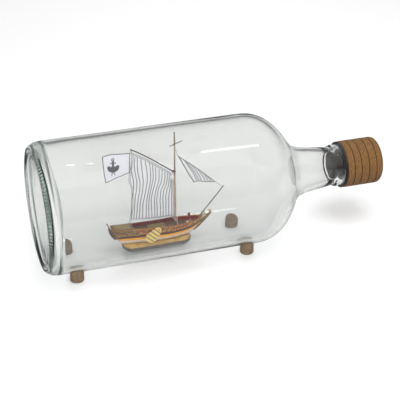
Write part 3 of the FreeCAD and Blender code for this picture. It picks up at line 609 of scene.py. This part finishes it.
def billow(name, grid, pins, depth, limit, push=(0.0, -1.0, 0.0)):
    """Out-of-plane offset (mm) of a sheet held at its pins and filled by a light wind: a Blender cloth run."""
    nv, nu = grid.shape[:2]
    V, U = np.meshgrid(np.linspace(0, 1, nv), np.linspace(0, 1, nu), indexing="ij")
    fallback = -depth * np.sin(math.pi * U) ** 0.8 * np.sin(math.pi * V) ** 0.8
    k = 1 / 50.0
    co = np.stack([grid[..., 0] * k, np.zeros((nv, nu)) + fallback * k * 0.2, grid[..., 1] * k], 2).reshape(-1, 3)
    c0 = co.mean(0)
    me = bpy.data.meshes.new(name + "_sim")
    me.from_pydata([tuple(p) for p in co - c0], [], [(j * nu + i, j * nu + i + 1, (j + 1) * nu + i + 1, (j + 1) * nu + i) for j in range(nv - 1) for i in range(nu - 1)])
    o = bpy.data.objects.new(name + "_sim", me)
    scene.collection.objects.link(o)
    g = o.vertex_groups.new(name="held")
    g.add([int(i) for i in np.nonzero(pins.reshape(-1))[0]], 1.0, "REPLACE")
    m = o.modifiers.new("cloth", "CLOTH")
    s = m.settings
    s.quality = 6
    s.mass = 0.15
    s.tension_stiffness = s.compression_stiffness = 20
    s.shear_stiffness = 8
    s.bending_stiffness = 0.3
    s.air_damping = 3.0
    s.shrink_min = -0.03
    s.vertex_group_mass = "held"
    keep = tuple(scene.gravity)
    scene.gravity = tuple(9.0 * q for q in push)
    scene.frame_start, scene.frame_end = 1, 30
    m.point_cache.frame_start, m.point_cache.frame_end = 1, 30
    for f in range(1, 31):
        scene.frame_set(f)
    ev = o.evaluated_get(bpy.context.evaluated_depsgraph_get()).data
    q = np.array([v.co for v in ev.vertices]) + c0
    dy = (q[:, 1] / k).reshape(nv, nu)
    scene.gravity = keep
    scene.frame_set(1)
    bpy.data.objects.remove(o)
    print(name, "cloth run: offset %.2f to %.2f mm" % (dy.min(), dy.max()))
    if not np.isfinite(dy).all() or abs(dy).max() < 1e-3:
        return fallback
    return np.clip(dy * min(1.0, depth / max(1e-6, abs(dy).max())), -limit, limit)


def finer(a, nv, nu):
    """Bilinear resampling of a (v, u) field."""
    sv, su = a.shape
    v, u = np.linspace(0, sv - 1, nv), np.linspace(0, su - 1, nu)
    v0, u0 = np.minimum(v.astype(int), sv - 2), np.minimum(u.astype(int), su - 2)
    fv, fu = (v - v0)[:, None], (u - u0)[None, :]
    return ((1 - fv) * (1 - fu) * a[v0][:, u0] + (1 - fv) * fu * a[v0][:, u0 + 1]
            + fv * (1 - fu) * a[v0 + 1][:, u0] + fv * fu * a[v0 + 1][:, u0 + 1])


def ink_of(p, lines):
    """How inked each point of the sheet is: lines are (polyline, width, strength)."""
    out = np.zeros(len(p))
    for pts, width, power in lines:
        q = np.asarray(pts, float)
        best = np.full(len(p), 1e9)
        for a, b in zip(q[:-1], q[1:]):
            ab = b - a
            t = np.clip(((p - a) @ ab) / max(1e-9, ab @ ab), 0, 1)
            best = np.minimum(best, np.linalg.norm(p - (a + t[:, None] * ab), axis=1))
        h = width / 2.0
        out = np.maximum(out, power * np.clip((h + 0.16 - best) / 0.32, 0, 1))
    return out


def sheet(name, edges, nu, nv, y0, depth, limit, lines, material, thick=0.22, wave=None, free=None, cn=(26, 40), extra=None):
    coarse = coons(*edges, cn[0], cn[1])
    pins = np.zeros((cn[1], cn[0]), bool)
    pins[0, :] = pins[-1, :] = True
    pins[:, 0] = pins[:, -1] = True
    if free is not None:
        free(pins)
    dy = finer(billow(name, coarse, pins, depth, limit), nv, nu)
    g = coons(*edges, nu, nv)
    V, U = np.meshgrid(np.linspace(0, 1, nv), np.linspace(0, 1, nu), indexing="ij")
    yy = y0 + dy + (wave(U, V) if wave else 0.0)
    mid = np.stack([g[..., 0], yy, g[..., 1]], 2)
    du, dv = np.gradient(mid, axis=1), np.gradient(mid, axis=0)
    nrm = np.cross(du, dv)
    nrm /= np.maximum(1e-9, np.linalg.norm(nrm, axis=2))[..., None]
    nrm[np.abs(nrm).sum(2) < 1e-6] = (0, -1, 0)
    flat = g.reshape(-1, 2)
    ink = ink_of(flat, lines)
    if extra is not None:
        ink = np.maximum(ink, extra(flat))
    verts = np.vstack([(mid + nrm * thick / 2).reshape(-1, 3), (mid - nrm * thick / 2).reshape(-1, 3)])
    N = nu * nv
    faces = []
    for j in range(nv - 1):
        for i in range(nu - 1):
            a = j * nu + i
            faces.append((a, a + 1, a + nu + 1, a + nu))
            faces.append((N + a, N + a + nu, N + a + nu + 1, N + a + 1))
    for i in range(nu - 1):
        a, b = i, (nv - 1) * nu + i
        faces.append((a + 1, a, N + a, N + a + 1))
        faces.append((b, b + 1, N + b + 1, N + b))
    for j in range(nv - 1):
        a, b = j * nu, j * nu + nu - 1
        faces.append((a, a + nu, N + a + nu, N + a))
        faces.append((b + nu, b, N + b, N + b + nu))
    return piece(name, verts, faces, material, None, True, {"ink": np.r_[ink, ink]})


STRIPES = [
    [(78.6, -21.2), (78.9, -14.3), (79.2, -7.4), (79.9, -0.7), (81.0, 6.0), (81.2, 12.7), (80.2, 19.6), (79.6, 26.4), (80.3, 33.0)],
    [(80.6, -21.3), (81.2, -14.2), (81.7, -7.2), (82.5, -0.3), (83.6, 6.6), (83.7, 13.6), (82.7, 20.7), (82.3, 27.6), (82.9, 34.4)],
    [(82.7, -21.4), (83.4, -14.4), (84.1, -7.4), (85.1, -0.5), (86.3, 6.3), (86.2, 13.3), (85.0, 20.4), (84.7, 27.3), (85.0, 34.1)],
    [(85.1, -21.6), (85.6, -14.8), (86.2, -8.1), (87.3, -1.5), (88.6, 5.1), (89.1, 11.7), (88.6, 18.5), (88.2, 25.1), (87.8, 31.8)],
    [(87.7, -21.8), (88.0, -15.3), (88.4, -8.8), (89.7, -2.4), (91.0, 3.8), (92.2, 10.1), (92.6, 16.5), (92.3, 22.9), (91.4, 29.4)],
    [(90.9, -22.1), (91.0, -15.7), (91.2, -9.3), (92.1, -3.0), (93.3, 3.1), (94.6, 9.2), (95.4, 15.4), (95.4, 21.6), (94.9, 27.9)],
    [(93.3, -22.3), (93.2, -16.1), (93.2, -9.9), (93.7, -3.9), (94.8, 2.0), (96.2, 7.9), (97.4, 13.7), (97.6, 19.7), (97.4, 25.7)],
    [(95.9, -22.5), (95.6, -16.5), (95.4, -10.6), (95.5, -4.7), (96.5, 0.9), (98.0, 6.5), (99.4, 12.0), (99.8, 17.7), (99.9, 23.4)],
    [(98.4, -22.7), (98.2, -17.0), (98.1, -11.4), (98.1, -5.7), (98.9, -0.3), (100.2, 5.0), (102.0, 10.3), (102.6, 15.7), (102.8, 21.1)],
    [(100.4, -22.8), (100.3, -17.3), (100.2, -11.8), (100.1, -6.3), (100.8, -1.0), (101.9, 4.3), (104.1, 9.3), (105.0, 14.5), (105.4, 19.8)],
    [(103.1, -23.0), (103.2, -17.8), (103.1, -12.6), (102.9, -7.3), (103.4, -2.2), (104.2, 2.8), (106.5, 7.5), (107.5, 12.5), (107.7, 17.5)],
    [(105.6, -23.2), (105.6, -18.1), (105.5, -13.0), (105.4, -8.0), (105.7, -3.0), (106.6, 1.9), (108.6, 6.5), (109.6, 11.4), (110.0, 16.2)],
    [(108.2, -23.4), (108.1, -18.6), (108.0, -13.8), (108.1, -9.0), (108.1, -4.2), (109.0, 0.4), (110.5, 4.9), (111.2, 9.5), (111.7, 14.1)],
    [(110.6, -23.6), (110.6, -19.2), (110.6, -14.7), (110.6, -10.3), (110.7, -6.0), (111.2, -1.7), (112.1, 2.6), (112.6, 6.8), (113.0, 11.1)],
    [(113.3, -23.8), (113.3, -19.7), (113.4, -15.5), (113.4, -11.4), (113.4, -7.3), (113.5, -3.1), (113.6, 0.9), (113.7, 5.0), (113.8, 9.1)],
]
JIB_STRIPES = [
    [(123.0, 28.1), (128.1, 19.9), (132.4, 12.6), (135.4, 4.1)],
    [(125.6, 25.4), (130.3, 18.6), (134.2, 11.9), (137.3, 4.3)],
    [(129.9, 21.9), (133.7, 16.2), (137.2, 10.0), (139.5, 3.9)],
    [(134.6, 18.1), (137.6, 13.2), (140.7, 8.0), (142.9, 2.9)],
    [(138.9, 14.4), (141.6, 10.2), (143.7, 6.1), (145.5, 2.4)],
    [(142.9, 10.0), (145.1, 6.8), (146.8, 4.2), (148.1, 1.6)],
]
sail_mat = cloth_mat("sail_striped", col(248, 248, 250), col(64, 64, 68), 0.35)
jib_mat = cloth_mat("jib_striped", col(248, 248, 250), col(64, 64, 68), 0.35)
flag_mat = cloth_mat("flag_paper", col(246, 246, 252), col(62, 60, 64), 0.3)
thread = plain("thread_grey", col(150, 146, 142), col(110, 106, 102), 0.8, 6.0)

M_FOOT = smooth_line([(115.6, -25.9), (106.0, -26.5), (96.4, -26.8), (86.0, -26.7), (77.0, -26.5)], 60)
M_HEAD = smooth_line([(114.3, 15.4), (110.9, 19.6), (106.7, 22.8), (95.8, 31.0), (87.5, 36.7), (79.8, 41.2)], 60)
M_LUFF = [(115.6, -25.9), (115.6, -8.0), (115.4, 8.0), (114.3, 15.4)]
M_LEECH = smooth_line([(77.0, -26.5), (76.9, -23.8), (78.2, -16.4), (79.2, -4.0), (79.3, 6.0), (77.3, 14.0), (77.7, 19.0), (79.0, 26.0), (80.2, 34.0), (79.8, 41.2)], 90)


def shifted(line, dx, dz, a=0.0, b=1.0):
    q = along(line, np.linspace(a, b, 40))
    return q + np.array([dx, dz])


main_lines = [(smooth_line(s, 30), 0.7, 0.8) for s in STRIPES]
main_lines += [(shifted(M_HEAD, 0.1, -2.0, 0.03, 0.98), 0.5, 0.8), (shifted(M_HEAD, 0.2, -3.5, 0.05, 0.97), 0.5, 0.75)]
main_lines += [(M_LEECH, 0.8, 0.8), (shifted(M_LEECH, 1.3, 0, 0.04, 0.96), 0.45, 0.6)]
main_lines += [([(78.2, -22.0), (97.0, -23.4), (115.4, -24.4)], 0.5, 0.8), ([(78.0, -23.2), (97.0, -24.3), (115.4, -25.1)], 0.45, 0.7)]
main_lines += [(M_FOOT, 0.35, 0.5), ([(114.9, -24.5), (114.9, 10.0)], 0.5, 0.7)]
mainsail = sheet("mainsail_cloth", (M_FOOT, M_HEAD, M_LUFF, M_LEECH), 176, 260, 0.0, 2.2, 3.0, main_lines, sail_mat)
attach(mainsail, "mast")
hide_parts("mainsail")

J_FOOT = smooth_line([(132.9, 3.7), (137.0, 4.2), (142.6, 2.4), (147.5, 1.9), (152.2, 0.9)], 50)
J_LEECH = smooth_line([(132.9, 3.7), (128.8, 11.0), (124.6, 19.5), (119.2, 30.5)], 60)
J_LUFF = [(152.2, 0.9), (136.0, 16.3), (119.4, 30.5)]
J_HEAD = [(119.2, 30.5), (119.4, 30.5)]
jib_lines = [(smooth_line(s, 20), 0.6, 0.85) for s in JIB_STRIPES]
jib_lines += [(J_LEECH, 1.5, 0.9), (J_FOOT, 1.3, 0.85), (J_LUFF, 0.9, 0.85)]
jib = sheet("jib_cloth", (J_FOOT, J_HEAD, J_LEECH, J_LUFF), 130, 170, 0.0, 0.9, 1.2, jib_lines, jib_mat, thick=0.2, cn=(18, 30))
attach(jib, "mast")
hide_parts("jib")

F_FOOT = smooth_line([(57.2, 16.0), (62.0, 16.7), (67.5, 18.6), (73.0, 20.6), (77.8, 21.9)], 50)
F_HEAD = smooth_line([(55.4, 39.9), (60.0, 40.4), (67.0, 40.3), (74.0, 39.9), (78.7, 39.3)], 50)
F_FLY = smooth_line([(57.2, 16.0), (56.3, 24.0), (55.8, 32.0), (55.4, 39.9)], 40)
F_HOIST = [(77.8, 21.9), (78.7, 39.3)]


def emblem(p):
    """A plain anchor: ring, shank, stock and a broad crescent of arms."""
    q = p - np.array([64.4, 28.2])
    x, z = q[:, 0], q[:, 1]

    def soft(d):
        return np.clip((0.16 - d) / 0.32, 0, 1)

    arc_out = np.hypot(x, z - 1.2) - 5.0
    arc_in = 3.6 - np.hypot(x, z - 4.4)
    crescent = soft(np.maximum(arc_out, np.maximum(arc_in, z - 2.4)))
    shank = soft(np.maximum(np.abs(x) - 0.85, np.maximum(-z - 3.0, z - 7.0)))
    stock = soft(np.maximum(np.abs(x) - 2.4, np.abs(z - 4.6) - 0.45))
    ring = soft(np.abs(np.hypot(x, z - 7.6) - 0.95) - 0.35)
    fill = soft(np.hypot(x / 1.25, z + 0.6) - 2.5) * 0.9
    foot = soft(np.maximum(np.abs(np.abs(x) - 0.9 + (z + 5.0) * 0.35) - 0.35, np.maximum(-z - 6.6, z + 3.5)))
    return 0.92 * np.maximum.reduce([crescent, shank, stock, ring, fill, foot])


flag_lines = [(F_FOOT, 1.3, 0.9), (F_HEAD, 1.3, 0.85), (F_FLY, 1.3, 0.9), (F_HOIST, 1.0, 0.7)]
flag = sheet("flag_cloth", (F_FOOT, F_HEAD, F_FLY, F_HOIST), 190, 190, -0.75, 0.8, 1.2, flag_lines, flag_mat, thick=0.2,
             wave=lambda U, V: -0.9 * np.sin(2.4 * math.pi * (1 - U)) * (1 - U), cn=(24, 24), extra=emblem)
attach(flag, "gaff")
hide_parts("flag")

# luff rope of the jib and the free line to the bowsprit
rope = [(116.6, 0.0, 38.6), (119.2, 0.0, 30.6), (136.0, 0.0, 16.4), (152.4, 0.0, 0.7)]
free = along([(152.4, 0.0, 0.7), (157.8, 0.0, -4.2)], np.linspace(0, 1, 90))
luff = tube("jib_luff_line", np.vstack([along(rope, np.linspace(0, 1, 60)), free[1:]]), 0.17, thread, None)
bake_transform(luff)
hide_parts("jib_luff_rope")

sheet_line = tube("mainsheet_line", along([(77.3, 0.0, -26.3), (78.6, -1.5, -29.6), (80.2, -2.9, -32.2)], np.linspace(0, 1, 24)), 0.16, MATS["mainsheet"], "mast")
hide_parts("mainsheet")
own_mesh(sheet_line)
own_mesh(mainsail)
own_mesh(flag)

# ---- stage, light and camera ---------------------------------------------
floor_mat = Graph("floor")
floor_mat.surface((0.86, 0.86, 0.86, 1.0), 0.9, spec=0.1)
me = bpy.data.meshes.new("floor")
me.from_pydata([(-4, -4, 0), (4, -4, 0), (4, 4, 0), (-4, 4, 0)], [], [(0, 1, 2, 3)])
me.materials.append(floor_mat.mat)
floor = bpy.data.objects.new("floor", me)
scene.collection.objects.link(floor)
floor.visible_glossy = False

world = bpy.data.worlds.new("studio")
scene.world = world
world.use_nodes = True
wt = world.node_tree
wt.nodes.clear()
wo = wt.nodes.new("ShaderNodeOutputWorld")
bg = wt.nodes.new("ShaderNodeBackground")
tc = wt.nodes.new("ShaderNodeTexCoord")
sep = wt.nodes.new("ShaderNodeSeparateXYZ")
wt.links.new(tc.outputs["Generated"], sep.inputs[0])
ramp = wt.nodes.new("ShaderNodeValToRGB")
wt.links.new(sep.outputs[2], ramp.inputs[0])
e = ramp.color_ramp.elements
e[0].position, e[0].color = 0.0, (0.3, 0.3, 0.3, 1)
e[1].position, e[1].color = 1.0, (1.0, 1.0, 1.0, 1)
m1 = e.new(0.18)
m1.color = (0.30, 0.30, 0.30, 1)
m2 = e.new(0.5)
m2.color = (0.85, 0.85, 0.85, 1)
wt.links.new(ramp.outputs[0], bg.inputs[0])
bg.inputs[1].default_value = 0.74
wt.links.new(bg.outputs[0], wo.inputs[0])


def area(name, loc, target, size, power, size_y=None):
    l = bpy.data.lights.new(name, "AREA")
    l.energy = power
    l.size = size
    if size_y:
        l.shape = "RECTANGLE"
        l.size_y = size_y
    o = bpy.data.objects.new(name, l)
    o.location = loc
    o.rotation_euler = (Vector(target) - Vector(loc)).to_track_quat("-Z", "Y").to_euler()
    scene.collection.objects.link(o)
    return o


key = area("key", (0.05, -0.38, 0.95), (0.0, 0.0, 0.05), 0.42, 5.0, 0.42)
key.visible_glossy = False
key.visible_transmission = False
back_light = area("back", (0.25, 0.75, 0.75), (0.0, 0.0, 0.06), 0.5, 2.2, 0.16)
back_light.visible_glossy = False
back_light.visible_transmission = False
fill = area("fill", (-0.35, -1.15, 0.62), (-0.02, 0.0, 0.05), 0.5, 8.5, 0.5)
fill.visible_glossy = False
fill.visible_transmission = False
# small bright cards that only show as highlights on the glass
area("card_right", (0.264, -0.06, 0.87), (0.01, -0.03, 0.107), 0.05, 0.10, 0.14)
area("card_left", (-0.022, 0.10, 0.885), (-0.12, -0.025, 0.11), 0.042, 0.05, 0.03)

cam = bpy.data.cameras.new("camera")
co = bpy.data.objects.new("camera", cam)
scene.collection.objects.link(co)
back = Vector((-0.25965386, -0.83086547, 0.49218131)).normalized()
right = Vector((0.95448, -0.29828, 0.0)).normalized()
up = back.cross(right).normalized()
m = [[right[i], up[i], back[i], (-0.286934, -0.885201, 0.570260)[i]] for i in range(3)] + [[0, 0, 0, 1]]
from mathutils import Matrix
co.matrix_world = Matrix(m)
cam.sensor_width = 36.0
cam.sensor_fit = "HORIZONTAL"
cam.lens = 114.023
cam.clip_start, cam.clip_end = 0.01, 50.0
scene.camera = co

scene.view_settings.view_transform = "Standard"
scene.view_settings.look = "None"
scene.cycles.max_bounces = 24
scene.cycles.transmission_bounces = 16
scene.cycles.transparent_max_bounces = 32
scene.cycles.glossy_bounces = 8
scene.cycles.caustics_reflective = False
scene.cycles.caustics_refractive = False
scene.cycles.blur_glossy = 0.5
